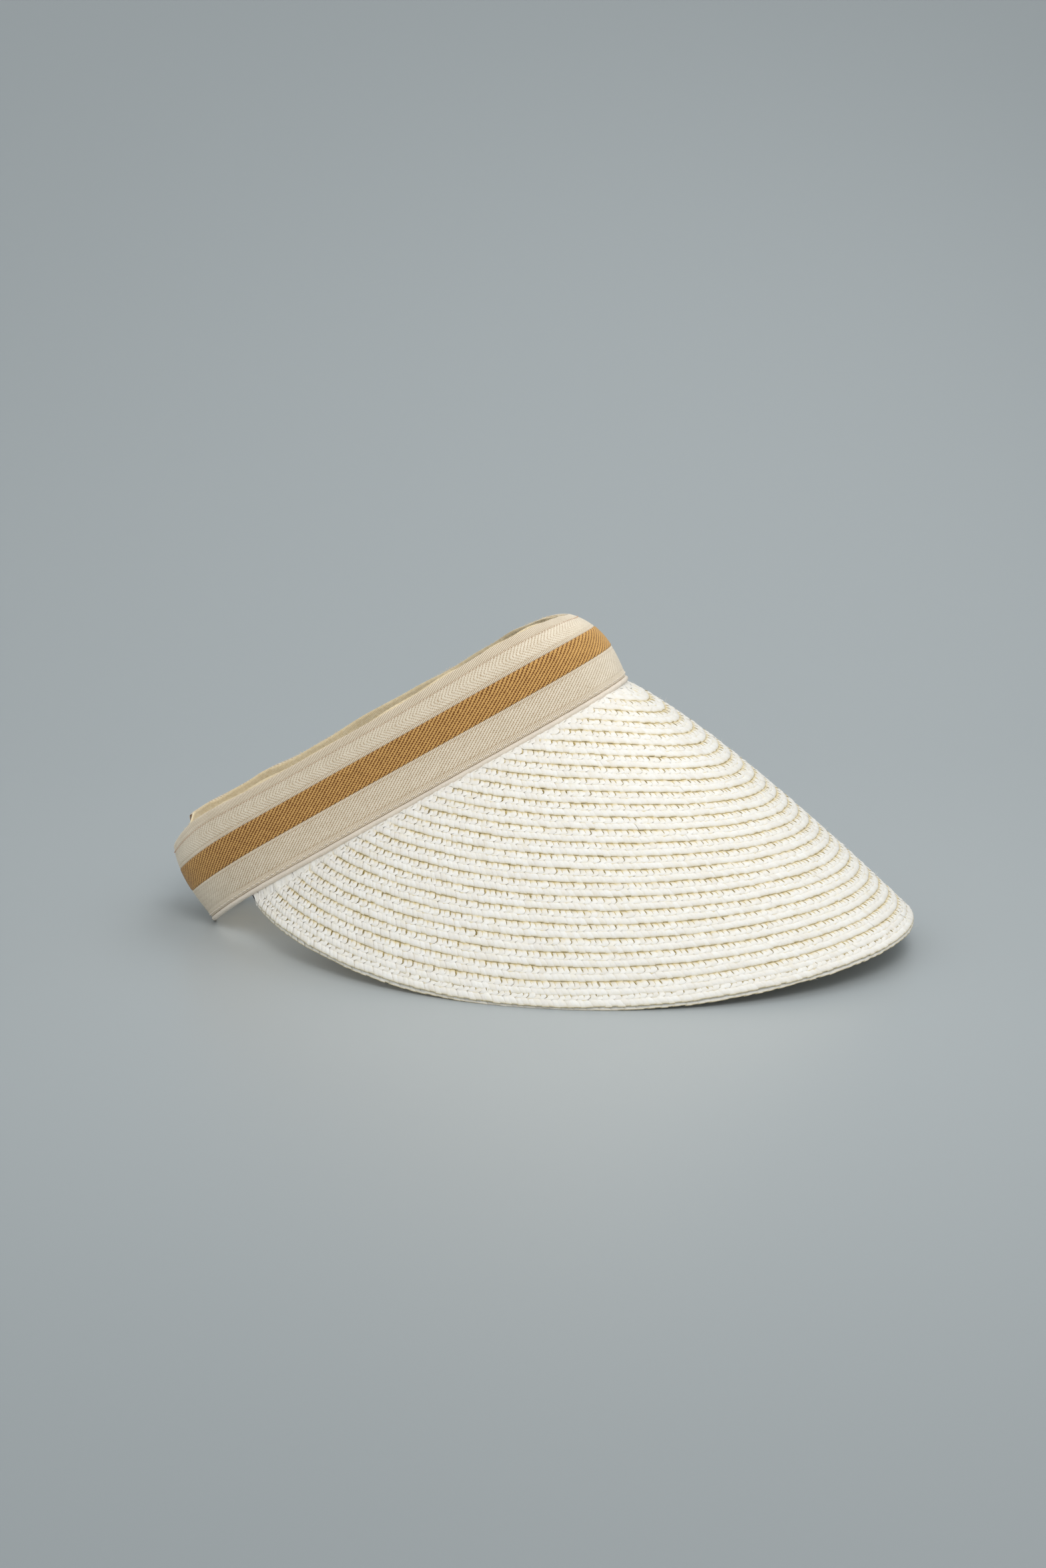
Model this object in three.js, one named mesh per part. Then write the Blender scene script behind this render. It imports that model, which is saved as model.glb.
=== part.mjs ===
// Wide-brim straw sun visor at rest: +X is the front, +Y the wearer's left, +Z up, in mm.
// It lies on the back of its head band and on the two drooping sides of its brim.
import * as THREE from 'three';

// Brim: a tilted, drooping cone of braid rows around a small disc at the front of the head opening.
const ROW_COUNT = 25;        // braid rows, number 1 at the outer edge
const ROW_PITCHES = 26;      // row pitches from the outer edge to the centre of the disc
const BRIM_FRONT = 152;      // reach of the outer edge ahead of the disc centre
const BRIM_FRONT_POWER = 0.8;
const BRIM_BACK = 157;       // reach of the outer edge behind the disc centre
const BRIM_BACK_POWER = 0.62;
const BRIM_SIDE = 118;       // half width of the brim
const BRIM_SIDE_POWER = 0.7;
const DROP_FRONT = 107;      // fall from the disc centre to the edge, at the front
const DROP_FRONT_POWER = 0.95;
const DROP_SIDE = 120.3;     // the same at the sides, which touch the table
const DROP_SIDE_POWER = 1.19;
const DROP_BACK = 100;       // the same towards the back
const DROP_BACK_POWER = 1.06;
const TRIM_FRONT = 0.015;    // share by which the outline is drawn in between front and side
const TRIM_BACK = 0.022;     // the same between back and side
const DISC_SHIFT = 11;       // the disc sits this far ahead of the edge's centre
const DISC_HEIGHT = 119.7;   // height of the disc centre above the table

// Braid: one flat plait per row, each one lapped over the next row out.
const BRAID_THICK = 1.0;
const BRAID_LAP = 0.15;      // share of a pitch that is lapped
const BRAID_LIFT = 0.75;     // the outer edge stands this far out, the inner edge this far in
const ROW_STEPS = 40;
const EDGE_TUCK = 0.012;     // row 1 stops short of the folded edge by this share of the brim
const FOLD_WIDTH = 0.032;    // the folded edge under row 1, as a share of the brim
const FOLD_GAP = 0.35;       // clearance from row 1 to the folded edge

// Head loop: a flattened oval of elastic webbing on a slanting plane, blunt at the back.
const LOOP_HALF_LENGTH = 115;
const LOOP_BACK_LENGTH = 110;
const LOOP_BACK_POWER = 2.6; // 2 would be an ellipse
const LOOP_HALF_WIDTH = 52;
const LOOP_SLOPE = THREE.MathUtils.degToRad(30.9);
const LOOP_X = -80;
const LOOP_Z = 60.3;
const LOOP_SIDE_RISE = 2;    // the sides of the seam lie slightly above its plane
const BACK_DROP = 3;         // the seam bends down to the table behind BACK_DROP_START
const BACK_DROP_START = 118; // degrees round the loop
const BACK_DROP_SPAN = 38;
const BACK_DROP_POWER = 1.6;
const SEAM_FLOOR = 1.15;     // height of the seam line where it lies on the table
const LOOP_STEPS = 80;
const PIPING_RADIUS = 1.25;
const PIPING_SIDES = 6;

// Webbing: its wall leans in, and bellies out at the front and the back.
const WEB_WIDTH = 38;
const WEB_THICK = 1.9;
const WEB_ROWS = 4;
const LEAN_SIDE = THREE.MathUtils.degToRad(11);
const FRONT_BELLY = 4.5;
const FRONT_CURL = 13;
const FRONT_LOSS = 2.6;      // height lost to the curl
const BACK_BELLY = 6.0;
const BACK_CURL = 7.6;
const BACK_LOSS = 1.0;
const JOIN_INNER_END = 161;  // degrees round the loop: the cut end inside
const JOIN_OUTER_END = 130;  // the cut end outside
const JOIN_RETURN = 112;     // the inner layer is back in line here
const JOIN_STEP = 2.5;       // the inner layer's offset
const JOIN_RISE = 2.6;       // the inner cut end stands this much higher

// Lining inside the webbing, and its two lines of stitching.
const LINING_LOW = 1.5;
const LINING_HIGH = 37.2;
const LINING_THICK = 1.2;
const LINING_GAP = 0.4;
const LINING_ROWS = 3;
const THREAD_RADIUS = 0.3;
const TOP_STITCH = 33.4;     // height up the webbing
const LOW_STITCH = 2.2;

const SEAM_CLEARANCE = 1.85; // braid ends stop this far from the piping's centre line

const straw = new THREE.MeshStandardMaterial({ color: 0xe9e3da, roughness: 0.7 });
const web = new THREE.MeshStandardMaterial({ color: 0xd9d0c0, roughness: 0.9 });
const cloth = new THREE.MeshStandardMaterial({ color: 0xb9ac93, roughness: 0.95 });
const cord = new THREE.MeshStandardMaterial({ color: 0xd8c7b4, roughness: 0.6 });
const yarn = new THREE.MeshStandardMaterial({ color: 0xb08a72, roughness: 0.6 });

function brimPoint(t, angle) {
  const c = Math.cos(angle);
  const s = Math.sin(angle);
  const ahead = c > 0;
  const along = ahead
    ? BRIM_FRONT * t ** BRIM_FRONT_POWER
    : BRIM_BACK * t ** BRIM_BACK_POWER;
  const drop = ahead ? DROP_FRONT * t ** DROP_FRONT_POWER : DROP_BACK * t ** DROP_BACK_POWER;
  const sideDrop = DROP_SIDE * t ** DROP_SIDE_POWER;
  const trim = 1 - 4 * (ahead ? TRIM_FRONT : TRIM_BACK) * t * t * c * c * s * s;
  return new THREE.Vector3(
    along * c * trim + DISC_SHIFT * (1 - t),
    BRIM_SIDE * t ** BRIM_SIDE_POWER * s * trim,
    DISC_HEIGHT - drop * c * c - sideDrop * s * s,
  );
}

function brimNormal(t, angle) {
  const e = 1e-4;
  const round = brimPoint(t, angle + e).sub(brimPoint(t, angle - e));
  const out = brimPoint(t + e, angle).sub(brimPoint(t - e, angle));
  return out.cross(round).normalize();
}

// Where row edge t meets the head loop, seen from above.
function seamAngle(t) {
  const wideHalf = LOOP_HALF_WIDTH + SEAM_CLEARANCE;
  const outside = (a) => {
    const p = brimPoint(t, a);
    const back = p.x < LOOP_X;
    const half = back ? LOOP_BACK_LENGTH : LOOP_HALF_LENGTH;
    const power = back ? LOOP_BACK_POWER : 2;
    const longHalf = half * Math.cos(LOOP_SLOPE) + SEAM_CLEARANCE;
    return Math.abs((p.x - LOOP_X) / longHalf) ** power + Math.abs(p.y / wideHalf) ** power > 1;
  };
  let low = 0;
  let high = Math.PI;
  for (let i = 0; i < 40; i += 1) {
    const mid = (low + high) / 2;
    if (outside(mid)) low = mid;
    else high = mid;
  }
  return low;
}

// A closed strip through sections of {outer, inner} point lists.
function strip(sections, closed) {
  const width = sections[0].outer.length;
  const points = [];
  sections.forEach(({ outer, inner }) => {
    points.push(...outer, ...[...inner].reverse());
  });
  const around = width * 2;
  const index = [];
  const last = closed ? sections.length : sections.length - 1;
  for (let i = 0; i < last; i += 1) {
    const a = i * around;
    const b = ((i + 1) % sections.length) * around;
    for (let j = 0; j < around; j += 1) {
      const k = (j + 1) % around;
      index.push(a + j, b + j, b + k, a + j, b + k, a + k);
    }
  }
  if (!closed) {
    const end = (sections.length - 1) * around;
    for (let j = 0; j < width - 1; j += 1) {
      const back = around - 1 - j;
      index.push(j, j + 1, back, j + 1, back - 1, back);
      index.push(end + j, end + back, end + j + 1, end + j + 1, end + back, end + back - 1);
    }
  }
  return solid(points, index);
}

function ring(centres, frames, radius, sides) {
  const points = [];
  const index = [];
  centres.forEach((c, i) => {
    for (let j = 0; j < sides; j += 1) {
      const a = (2 * Math.PI * (j + 0.5)) / sides;
      points.push(c.clone()
        .addScaledVector(frames[i].out, radius * Math.cos(a))
        .addScaledVector(frames[i].up, radius * Math.sin(a)));
    }
  });
  for (let i = 0; i < centres.length; i += 1) {
    const a = i * sides;
    const b = ((i + 1) % centres.length) * sides;
    for (let j = 0; j < sides; j += 1) {
      const k = (j + 1) % sides;
      index.push(a + j, b + j, b + k, a + j, b + k, a + k);
    }
  }
  return solid(points, index);
}

// Turns the faces outward, whichever way the sections ran.
function solid(points, index) {
  let volume = 0;
  for (let i = 0; i < index.length; i += 3) {
    const [a, b, c] = [points[index[i]], points[index[i + 1]], points[index[i + 2]]];
    volume += a.dot(new THREE.Vector3().crossVectors(b, c));
  }
  if (volume < 0) {
    for (let i = 0; i < index.length; i += 3) {
      [index[i + 1], index[i + 2]] = [index[i + 2], index[i + 1]];
    }
  }
  const geometry = new THREE.BufferGeometry();
  geometry.setAttribute('position', new THREE.Float32BufferAttribute(
    points.flatMap((p) => [p.x, p.y, p.z]), 3));
  geometry.setIndex(index);
  geometry.computeVertexNormals();
  return geometry;
}

// An edge pressed on the table lies flat on it.
function onTable(p) {
  return new THREE.Vector3(p.x, p.y, Math.max(p.z, 0));
}

// One braid strip from edge share tOut in to tIn, its mid-line lifted by liftOut and liftIn.
function braid(tOut, tIn, liftOut, liftIn, thick) {
  const endOut = seamAngle(tOut);
  const endIn = seamAngle(tIn);
  const sections = [];
  for (let i = 0; i <= ROW_STEPS; i += 1) {
    const s = (2 * i) / ROW_STEPS - 1;
    const place = (t, end, lift) => {
      const angle = s * end;
      const n = brimNormal(t, angle);
      return [lift + thick / 2, lift - thick / 2].map((d) => (
        onTable(brimPoint(t, angle).addScaledVector(n, d))));
    };
    const [outTop, outBottom] = place(tOut, endOut, liftOut);
    const [inTop, inBottom] = place(tIn, endIn, liftIn);
    sections.push({ outer: [outTop, inTop], inner: [outBottom, inBottom] });
  }
  return strip(sections, false);
}

const along = new THREE.Vector3(Math.cos(LOOP_SLOPE), 0, Math.sin(LOOP_SLOPE));
const upright = new THREE.Vector3(-Math.sin(LOOP_SLOPE), 0, Math.cos(LOOP_SLOPE));
const across = new THREE.Vector3(0, 1, 0);

// The seam line between brim and band, with the directions outward and up the wall.
function loopFrame(angle) {
  const c = Math.cos(angle);
  const s = Math.sin(angle);
  const half = c < 0 ? LOOP_BACK_LENGTH : LOOP_HALF_LENGTH;
  const power = c < 0 ? LOOP_BACK_POWER : 2;
  const shape = (x, e) => Math.sign(x) * Math.abs(x) ** e;
  const centre = new THREE.Vector3(LOOP_X, 0, LOOP_Z)
    .addScaledVector(along, half * shape(c, 2 / power))
    .addScaledVector(across, LOOP_HALF_WIDTH * shape(s, 2 / power))
    .addScaledVector(upright, LOOP_SIDE_RISE * s * s);
  if (c < 0) {
    const degrees = THREE.MathUtils.radToDeg(Math.atan2(Math.abs(s), c));
    const bend = Math.max(0, (degrees - BACK_DROP_START) / BACK_DROP_SPAN) ** BACK_DROP_POWER;
    const above = centre.z - BACK_DROP * bend - SEAM_FLOOR;
    centre.z = SEAM_FLOOR + (above + Math.hypot(above, 1)) / 2;
  }
  const out = new THREE.Vector3()
    .addScaledVector(along, shape(c, 2 - 2 / power) / half)
    .addScaledVector(across, shape(s, 2 - 2 / power) / LOOP_HALF_WIDTH)
    .normalize();
  return { centre, out, up: upright };
}

// A point on the wall: height up the webbing and depth outward from its middle layer.
function wallPoint(angle, height, depth) {
  const { centre, out } = loopFrame(angle);
  const c = Math.cos(angle);
  const side = 1 - c * c;
  const v = height / WEB_WIDTH;
  const belly = c > 0 ? FRONT_BELLY : BACK_BELLY;
  const curl = c > 0 ? FRONT_CURL : BACK_CURL;
  const loss = c > 0 ? FRONT_LOSS : BACK_LOSS;
  const ends = (belly * v - curl * v ** 3) * c * c;
  const lean = -height * Math.sin(LEAN_SIDE) * side;
  const rise = PIPING_RADIUS + 0.3 + height * (1 - 0.02 * side) - loss * v ** 3 * c * c;
  const tilt = (1 - Math.cos(LEAN_SIDE)) * depth;
  return centre
    .addScaledVector(out, ends + lean + depth)
    .addScaledVector(upright, rise + tilt);
}

function layer(angle, heights, depth, thick) {
  return {
    outer: heights.map((h) => wallPoint(angle, h, depth + thick / 2)),
    inner: heights.map((h) => wallPoint(angle, h, depth - thick / 2)),
  };
}

function spread(low, high, count) {
  return Array.from({ length: count + 1 }, (_, i) => low + ((high - low) * i) / count);
}

// The depth of the webbing's first layer near the join at the back.
function joinDepth(degrees) {
  const w = THREE.MathUtils.smoothstep(degrees, JOIN_RETURN, JOIN_OUTER_END - 3);
  return -JOIN_STEP * w;
}

function webbing() {
  const turn = 360 + JOIN_INNER_END - JOIN_OUTER_END;
  const steps = Math.round((LOOP_STEPS * turn) / 360);
  const heights = spread(0, WEB_WIDTH, WEB_ROWS);
  const sections = spread(JOIN_INNER_END, JOIN_INNER_END - turn, steps).map((degrees) => {
    const depth = degrees > 0 ? joinDepth(degrees) : 0;
    const lifted = heights.map((h) => h - (JOIN_RISE * depth) / JOIN_STEP);
    return layer(THREE.MathUtils.degToRad(degrees), lifted, depth, WEB_THICK);
  });
  return strip(sections, false);
}

function lining() {
  const heights = spread(LINING_LOW, LINING_HIGH, LINING_ROWS);
  const base = -(WEB_THICK + LINING_THICK) / 2 - LINING_GAP;
  const sections = spread(-180, 180, LOOP_STEPS).slice(0, -1).map((degrees) => {
    const far = Math.abs(degrees) > 172 ? 0 : Math.max(degrees, 0);
    const start = THREE.MathUtils.smoothstep(far, JOIN_RETURN - 18, JOIN_OUTER_END - 12);
    const stop = 1 - THREE.MathUtils.smoothstep(degrees, JOIN_INNER_END + 2, JOIN_INNER_END + 10);
    const join = degrees > 0 ? Math.min(start, stop) : 0;
    const angle = THREE.MathUtils.degToRad(degrees);
    return layer(angle, heights, base - JOIN_STEP * join, LINING_THICK);
  });
  return strip(sections, true);
}

function loopRing(height, depth, radius, sides) {
  const angles = spread(-Math.PI, Math.PI, LOOP_STEPS).slice(0, -1);
  const frames = angles.map(loopFrame);
  const centres = height === null
    ? frames.map((f) => f.centre.clone())
    : angles.map((a) => wallPoint(a, height, depth));
  return ring(centres, frames, radius, sides);
}

function piece(name, geometry, material) {
  const mesh = new THREE.Mesh(geometry, material.clone());
  mesh.name = name;
  return mesh;
}

const visor = new THREE.Group();
visor.name = 'sun_visor';

for (let row = 1; row <= ROW_COUNT; row += 1) {
  const tOut = 1 - (row - 1) / ROW_PITCHES - (row === 1 ? EDGE_TUCK : 0);
  const tIn = 1 - (row + BRAID_LAP) / ROW_PITCHES;
  const name = `straw_row_${String(row).padStart(2, '0')}`;
  visor.add(piece(name, braid(tOut, tIn, BRAID_LIFT, -BRAID_LIFT, BRAID_THICK), straw));
}
const foldLift = BRAID_LIFT - BRAID_THICK - FOLD_GAP;
const foldFall = (2 * BRAID_LIFT * FOLD_WIDTH * ROW_PITCHES) / (1 + BRAID_LAP);
visor.add(piece('folded_edge',
  braid(1, 1 - FOLD_WIDTH, foldLift, foldLift - foldFall, BRAID_THICK), straw));
visor.add(piece('seam_piping', loopRing(null, 0, PIPING_RADIUS, PIPING_SIDES), cord));
visor.add(piece('elastic_webbing', webbing(), web));
visor.add(piece('inner_lining', lining(), cloth));
const threadDepth = WEB_THICK / 2 + THREAD_RADIUS + 0.2;
visor.add(piece('top_stitch_thread',
  loopRing(TOP_STITCH, threadDepth, THREAD_RADIUS, 4), yarn));
visor.add(piece('lower_stitch_thread',
  loopRing(LOW_STITCH, threadDepth, THREAD_RADIUS, 4), yarn));

// Centre the whole on its footprint, resting on z = 0.
const box = new THREE.Box3().setFromObject(visor);
const middle = box.getCenter(new THREE.Vector3());
visor.children.forEach((mesh) => {
  mesh.geometry.translate(-middle.x, -middle.y, -box.min.z);
});

export default visor;
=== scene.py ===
"""Wide-brim straw sun visor lying at rest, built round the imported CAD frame. Lengths below are in mm."""
import math
from collections import namedtuple

import bpy
import numpy as np
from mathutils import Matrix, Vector


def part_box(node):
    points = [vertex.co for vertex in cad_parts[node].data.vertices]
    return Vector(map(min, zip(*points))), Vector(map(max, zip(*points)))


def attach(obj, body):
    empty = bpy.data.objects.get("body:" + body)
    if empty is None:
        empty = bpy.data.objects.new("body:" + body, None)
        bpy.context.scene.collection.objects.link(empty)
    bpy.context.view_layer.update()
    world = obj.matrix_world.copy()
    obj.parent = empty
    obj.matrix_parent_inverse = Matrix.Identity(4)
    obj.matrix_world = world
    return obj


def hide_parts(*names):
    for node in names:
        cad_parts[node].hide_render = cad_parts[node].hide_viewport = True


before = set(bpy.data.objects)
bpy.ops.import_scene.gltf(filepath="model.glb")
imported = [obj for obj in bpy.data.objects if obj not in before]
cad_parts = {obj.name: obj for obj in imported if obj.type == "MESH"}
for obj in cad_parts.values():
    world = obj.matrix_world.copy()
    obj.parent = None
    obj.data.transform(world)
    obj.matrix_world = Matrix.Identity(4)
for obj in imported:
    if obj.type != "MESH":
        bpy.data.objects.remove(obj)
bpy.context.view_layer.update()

rng = np.random.default_rng(20)
TAU = 2 * math.pi
MM = 0.001

# ---------------------------------------------------------------- shape of the brim and the head loop
# The brim is a drooping cone of braid rows round a small disc, PITCHES row pitches from its outer edge to
# the disc's centre. Each pair is the outer edge's reach or fall from that centre, and the power that it
# follows on the way there. TRIM is the share by which the outline is drawn in between front, side and back.
ROWS = 25
PITCHES = 26
PITCH = 6.5
DISC_SHIFT, DISC_HEIGHT = 11.0, 119.7
BRIM_FRONT, BRIM_BACK, BRIM_SIDE = (152.0, 0.8), (157.0, 0.62), (118.0, 0.7)
DROP_FRONT, DROP_BACK, DROP_SIDE = (107.0, 0.95), (100.0, 1.06), (120.3, 1.19)
TRIM_FRONT, TRIM_BACK = 0.015, 0.022
# The head loop is an oval on a slanting plane, blunt at the back, where it bends down to the table.
LOOP_X, LOOP_Z, SLOPE = -80.0, 60.3, math.radians(30.9)
LOOP_FRONT, LOOP_BACK, LOOP_SIDE = 115.0, 110.0, 52.0
FRONT_POWER, BACK_POWER = 2.0, 2.6
SIDE_RISE = 2.0
BEND, BEND_START, BEND_SPAN, BEND_POWER, SEAM_FLOOR = 3.0, 118.0, 38.0, 1.6, 1.15
PIPING_R = 1.25
# The webbing stands on the piping. It leans in at the sides, and bellies out and curls in at both ends.
WEB_W, WEB_T = 38.0, 1.9
WEB_GAP = 0.3
LEAN = math.radians(11)
SIDE_LOSS = 0.02
FRONT_BELLY, FRONT_CURL, FRONT_LOSS = 4.5, 13.0, 2.6
BACK_BELLY, BACK_CURL, BACK_LOSS = 6.0, 7.6, 1.0
# Its inner end starts behind at JOIN_START, runs once round and ends outside the inner layer at JOIN_STOP.
JOIN_START, JOIN_STOP, JOIN_BACK = 171.0, 130.0, 112.0
JOIN_STEP, JOIN_RISE = 2.5, 2.6
# How far the band's top edge stands above that plain shape, by degrees round the loop from the front.
EDGE_RISE = np.array([
    (-230, 1.0), (-200, 0.5), (-180, 0.0), (-160, 0.8), (-150, 2.0), (-140, 3.3), (-130, 3.5),
    (-120, 2.0), (-100, 1.2), (-75, 1.3), (-60, 3.1), (-45, 4.7), (-30, 4.2), (-15, 2.9), (0, 0.9),
    (15, 1.0), (30, 3.0), (45, 3.4), (60, 2.1), (75, 0.7), (95, 1.0), (130, 1.0), (142, 2.4),
    (156, 5.2), (170, 6.2), (176, 3.0), (180, 0.0)])
# It is averaged over EDGE_BLUR degrees, starts at RISE_FROM up the webbing and is whole RISE_OVER above that.
EDGE_BLUR = np.linspace(-6, 6, 7)
RISE_FROM, RISE_OVER, RISE_MOST = 23.8, 14.0, 1.05
# The frame's X origin is the middle of the footprint; the front of the band's piping tells where that is.
_, piping_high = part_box("seam_piping")
SHIFT_X = piping_high.x / MM - (LOOP_X + LOOP_FRONT * math.cos(SLOPE) + PIPING_R)

ALONG = np.array([math.cos(SLOPE), 0, math.sin(SLOPE)])
UP = np.array([-math.sin(SLOPE), 0, math.cos(SLOPE)])
ACROSS = np.array([0, 1.0, 0])


def unit(v):
    return v / np.maximum(np.linalg.norm(v, axis=-1, keepdims=True), 1e-12)


def smooth(x, a, b):
    """From 0 at a to 1 at b, with flat ends."""
    x = np.clip((x - a) / (b - a), 0, 1)
    return x * x * (3 - 2 * x)


def signed_power(x, e):
    return np.sign(x) * np.abs(x) ** e


def brim(t, angle):
    """Points of the brim's middle surface; t is 1 at the outer edge and 0 at the disc's centre."""
    t = np.maximum(t, 1e-5)
    c, s = np.cos(angle), np.sin(angle)
    ahead = c > 0
    along = np.where(ahead, BRIM_FRONT[0] * t ** BRIM_FRONT[1], BRIM_BACK[0] * t ** BRIM_BACK[1])
    drop = np.where(ahead, DROP_FRONT[0] * t ** DROP_FRONT[1], DROP_BACK[0] * t ** DROP_BACK[1])
    side = DROP_SIDE[0] * t ** DROP_SIDE[1]
    trim = 1 - 4 * np.where(ahead, TRIM_FRONT, TRIM_BACK) * (t * c * s) ** 2
    x = along * c * trim + DISC_SHIFT * (1 - t)
    y = BRIM_SIDE[0] * t ** BRIM_SIDE[1] * s * trim
    z = DISC_HEIGHT - drop * c * c - side * s * s
    return np.stack([x, y, z], -1)


def brim_frame(t, angle):
    """The brim's two slopes, by angle and by t, and its unit normal."""
    step = 1e-4
    round_ = (brim(t, angle + step) - brim(t, angle - step)) / (2 * step)
    out = (brim(t + step, angle) - brim(t - step, angle)) / (2 * step)
    return round_, out, unit(np.cross(out, round_))


def loop_oval(behind):
    """Half length and power of the loop's oval, behind or ahead of its middle."""
    return np.where(behind, LOOP_BACK, LOOP_FRONT), np.where(behind, BACK_POWER, FRONT_POWER)


def seam(angle):
    """The seam line between brim and band, and the direction outward from it."""
    c, s = np.cos(angle), np.sin(angle)
    half, e = loop_oval(c < 0)
    x, y = half * signed_power(c, 2 / e), LOOP_SIDE * signed_power(s, 2 / e)
    at = np.array([LOOP_X, 0, LOOP_Z]) + x[..., None] * ALONG + y[..., None] * ACROSS
    at = at + (SIDE_RISE * s * s)[..., None] * UP
    degrees = np.degrees(np.arctan2(np.abs(s), c))
    bend = np.maximum(0, (degrees - BEND_START) / BEND_SPAN) ** BEND_POWER
    above = at[..., 2] - BEND * bend - SEAM_FLOOR
    at[..., 2] = np.where(c < 0, SEAM_FLOOR + (above + np.hypot(above, 1)) / 2, at[..., 2])
    out = (signed_power(c, 2 - 2 / e)[..., None] / half[..., None] * ALONG
           + signed_power(s, 2 - 2 / e)[..., None] / LOOP_SIDE * ACROSS)
    return at, unit(out)


def in_loop(x, y):
    """Under 1 inside the head loop, seen from above."""
    half, e = loop_oval(x < LOOP_X)
    return np.abs((x - LOOP_X) / (half * math.cos(SLOPE))) ** e + np.abs(y / LOOP_SIDE) ** e


def edge_rise(degrees):
    heights = [np.interp(degrees + d, EDGE_RISE[:, 0], EDGE_RISE[:, 1]) for d in EDGE_BLUR]
    return sum(heights) / len(EDGE_BLUR)


def wall(angle, height, depth):
    """A point on the band: height up the webbing and depth outward from its middle layer."""
    at, out = seam(angle)
    c = np.cos(angle)
    ends, side = c * c, 1 - c * c
    v = height / WEB_W
    belly = np.where(c > 0, FRONT_BELLY, BACK_BELLY)
    curl = np.where(c > 0, FRONT_CURL, BACK_CURL)
    loss = np.where(c > 0, FRONT_LOSS, BACK_LOSS)
    shift = (belly * v - curl * v**3) * ends - height * math.sin(LEAN) * side + depth
    rise = PIPING_R + WEB_GAP + height * (1 - SIDE_LOSS * side) - loss * v**3 * ends
    top = np.clip((height - RISE_FROM) / RISE_OVER, 0, RISE_MOST)
    rise = rise + (1 - math.cos(LEAN)) * depth + edge_rise(np.degrees(angle)) * top
    return at + out * shift[..., None] + UP * rise[..., None]


# ---------------------------------------------------------------- meshes
def piece(name, verts, quads, material, nodes=(), fields=None, creased=None):
    """A mesh object from vertices in mm and quads, with point attributes; creased marks sharp points."""
    mesh = bpy.data.meshes.new(name)
    verts = np.asarray(verts, float).reshape(-1, 3) * MM
    verts[:, 0] += SHIFT_X * MM
    quads = np.asarray(quads, np.int32)
    mesh.vertices.add(len(verts))
    mesh.vertices.foreach_set("co", verts.astype(np.float32).ravel())
    mesh.loops.add(quads.size)
    mesh.loops.foreach_set("vertex_index", quads.ravel())
    mesh.polygons.add(len(quads))
    mesh.polygons.foreach_set("loop_start", np.arange(0, quads.size, quads.shape[1], dtype=np.int32))
    mesh.update(calc_edges=True)
    for key, value in (fields or {}).items():
        value = np.asarray(value, np.float32)
        if value.ndim == 2:
            mesh.attributes.new(key, "FLOAT_VECTOR", "POINT").data.foreach_set("vector", value.ravel())
        else:
            mesh.attributes.new(key, "FLOAT", "POINT").data.foreach_set("value", value)
    mesh.validate()
    mesh.polygons.foreach_set("use_smooth", np.ones(len(mesh.polygons), bool))
    if creased is not None:
        ends = np.empty(len(mesh.edges) * 2, np.int32)
        mesh.edges.foreach_get("vertices", ends)
        mesh.edges.foreach_set("use_edge_sharp", creased[ends.reshape(-1, 2)].all(1))
    obj = bpy.data.objects.new(name, mesh)
    bpy.context.scene.collection.objects.link(obj)
    mesh.materials.append(material)
    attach(obj, "root")
    if nodes:
        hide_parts(*nodes)
    return obj


def loft_quads(count, stations, ring, closed=False):
    """Quads of count lofts at once, each through stations rings of ring points. Open ends get no cap."""
    i = np.arange(count)[:, None, None] * stations * ring
    steps = stations if closed else stations - 1
    a = np.arange(steps)[None, :, None] * ring
    b = ((np.arange(steps) + 1) % stations)[None, :, None] * ring
    j = np.arange(ring)[None, None, :]
    k = (j + 1) % ring
    q = np.stack(np.broadcast_arrays(i + a + j, i + b + j, i + b + k, i + a + k), -1)
    return q.reshape(-1, 4)


def outward(points, quads):
    """The quads, turned over where needed so that they face out of the solid."""
    a, b, c, d = (points[quads[:, i]] for i in range(4))
    volume = (a * np.cross(b, c)).sum() + (a * np.cross(c, d)).sum()
    return quads if volume > 0 else quads[:, ::-1]


# ---------------------------------------------------------------- shader nodes
def nodes_of(name):
    mat = bpy.data.materials.new(name)
    mat.use_nodes = True
    tree = mat.node_tree
    return mat, tree, tree.nodes["Principled BSDF"]


def add(tree, kind, **settings):
    node = tree.nodes.new(kind)
    for key, value in settings.items():
        if key in node.inputs.keys():
            node.inputs[key].default_value = value
        else:
            setattr(node, key, value)
    return node


def link(tree, a, b):
    tree.links.new(a, b)


def ramp(tree, fac, stops):
    node = tree.nodes.new("ShaderNodeValToRGB")
    while len(node.color_ramp.elements) < len(stops):
        node.color_ramp.elements.new(0.5)
    for e, (at, col) in zip(node.color_ramp.elements, stops):
        e.position = at
        e.color = (*col, 1)
    link(tree, fac, node.inputs["Fac"])
    return node.outputs["Color"]


def mix(tree, fac, a, b, blend="MIX"):
    node = tree.nodes.new("ShaderNodeMix")
    node.data_type = "RGBA"
    node.blend_type = blend
    for sock, value in ((node.inputs[0], fac), (node.inputs[6], a), (node.inputs[7], b)):
        if isinstance(value, (int, float)):
            sock.default_value = value
        elif isinstance(value, tuple):
            sock.default_value = (*value, 1)
        else:
            link(tree, value, sock)
    return node.outputs[2]


def maths(tree, operation, a, b=None, clamp=False):
    node = add(tree, "ShaderNodeMath", operation=operation, use_clamp=clamp)
    for sock, value in zip(node.inputs, (a, b)):
        if isinstance(value, (int, float)):
            sock.default_value = value
        elif value is not None:
            link(tree, value, sock)
    return node.outputs[0]


def plus(tree, a, b):
    return maths(tree, "ADD", a, b)


def minus(tree, a, b):
    return maths(tree, "SUBTRACT", a, b)


def times(tree, a, b):
    return maths(tree, "MULTIPLY", a, b)


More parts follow.
